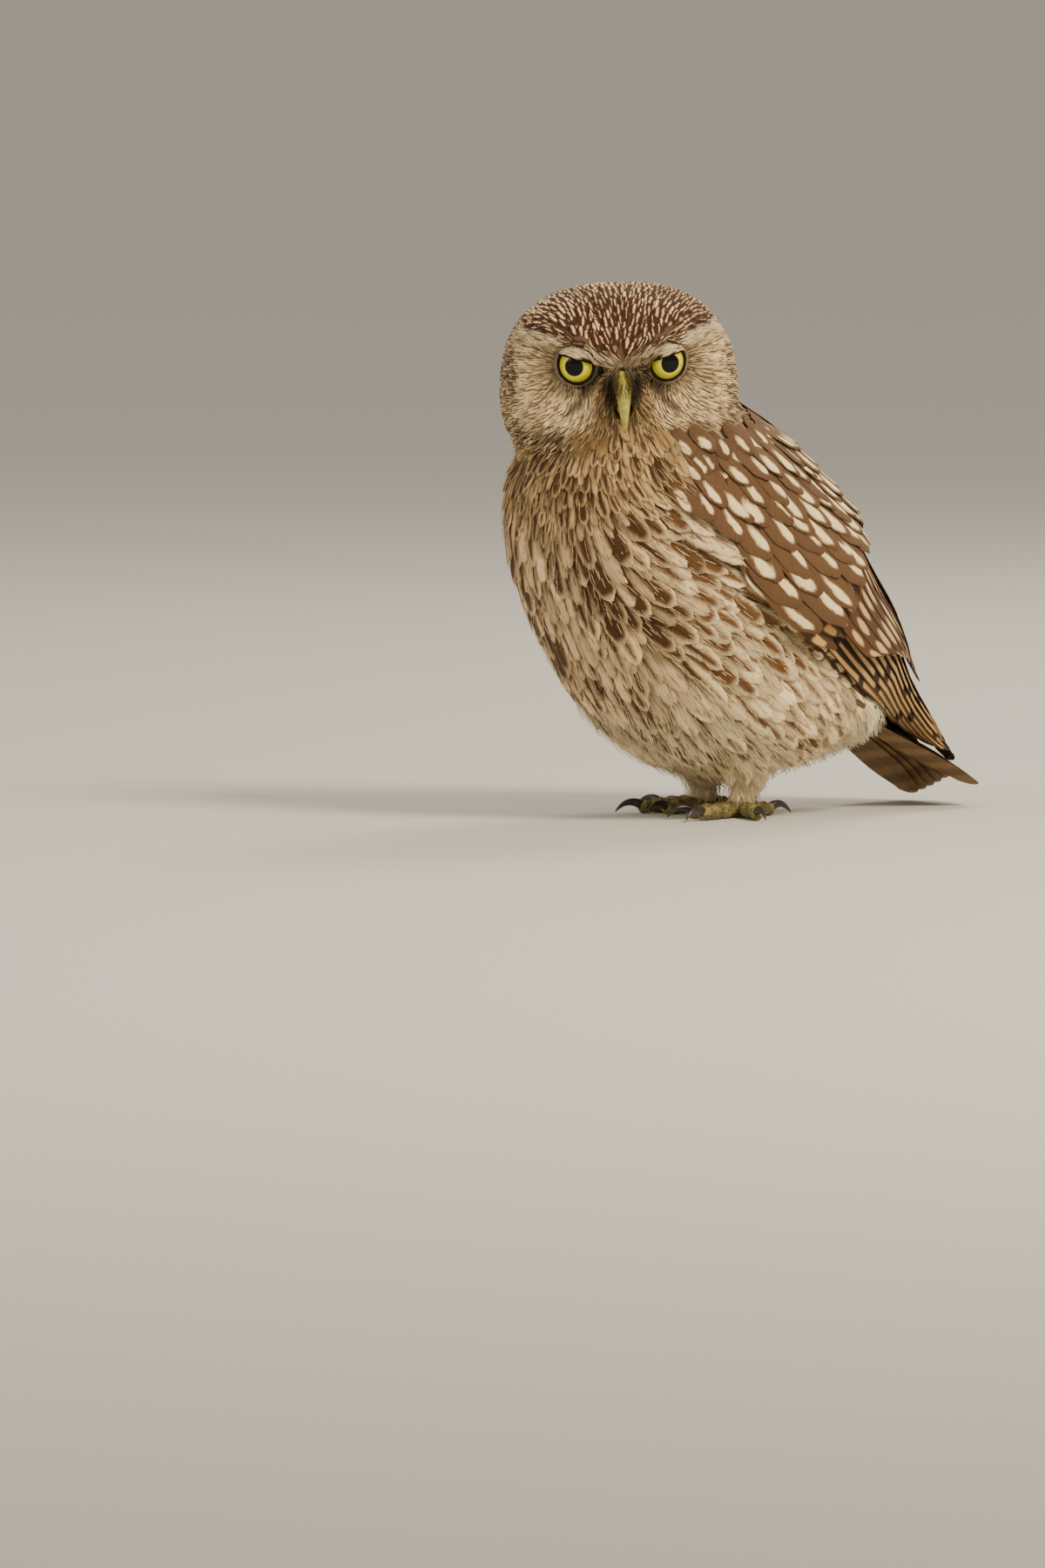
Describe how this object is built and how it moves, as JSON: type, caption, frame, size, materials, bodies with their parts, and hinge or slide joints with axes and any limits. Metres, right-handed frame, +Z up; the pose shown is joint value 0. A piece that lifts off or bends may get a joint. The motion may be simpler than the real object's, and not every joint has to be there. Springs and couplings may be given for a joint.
{
  "type": "little owl",
  "caption": "Small owl standing on both feet with folded wings, a short tail and its round head turned to its left.",
  "frame": {"origin": "on the floor under the middle of the bounding box", "axes": "+X towards the bird's left side, -Y the way its body faces, +Z up"},
  "size_m": [0.102, 0.1724, 0.1711],
  "materials": {
    "head_plumage": "soft, brown with buff streaks",
    "neck_plumage": "soft, brown and white mottled",
    "body_plumage": "soft, creamy white with brown streaks",
    "thigh_plumage": "soft, creamy",
    "shank_plumage": "short and soft, creamy",
    "wing_feathers": "smooth overlapping vanes, brown with white spots",
    "tail_feathers": "smooth overlapping vanes, brown with pale bars",
    "bill": "horn, satin, yellow-olive",
    "eye": "wet gloss, lemon yellow with a black pupil",
    "toe_skin": "scaly skin, yellow-olive",
    "claw": "horn, satin, black-grey"
  },
  "bodies": {
    "root": {"head": "head_plumage", "neck": "neck_plumage", "torso": "body_plumage", "bill_upper": "bill", "bill_lower": "bill", "tail": "tail_feathers", "eye_left": "eye", "wing_left": "wing_feathers", "thigh_left": "thigh_plumage", "shank_left": "shank_plumage", "toe_left_inner": "toe_skin", "claw_left_inner": "claw", "toe_left_middle": "toe_skin", "claw_left_middle": "claw", "toe_left_outer": "toe_skin", "claw_left_outer": "claw", "toe_left_hind": "toe_skin", "claw_left_hind": "claw", "eye_right": "eye", "wing_right": "wing_feathers", "thigh_right": "thigh_plumage", "shank_right": "shank_plumage", "toe_right_inner": "toe_skin", "claw_right_inner": "claw", "toe_right_middle": "toe_skin", "claw_right_middle": "claw", "toe_right_outer": "toe_skin", "claw_right_outer": "claw", "toe_right_hind": "toe_skin", "claw_right_hind": "claw"}
  },
  "joints": []
}
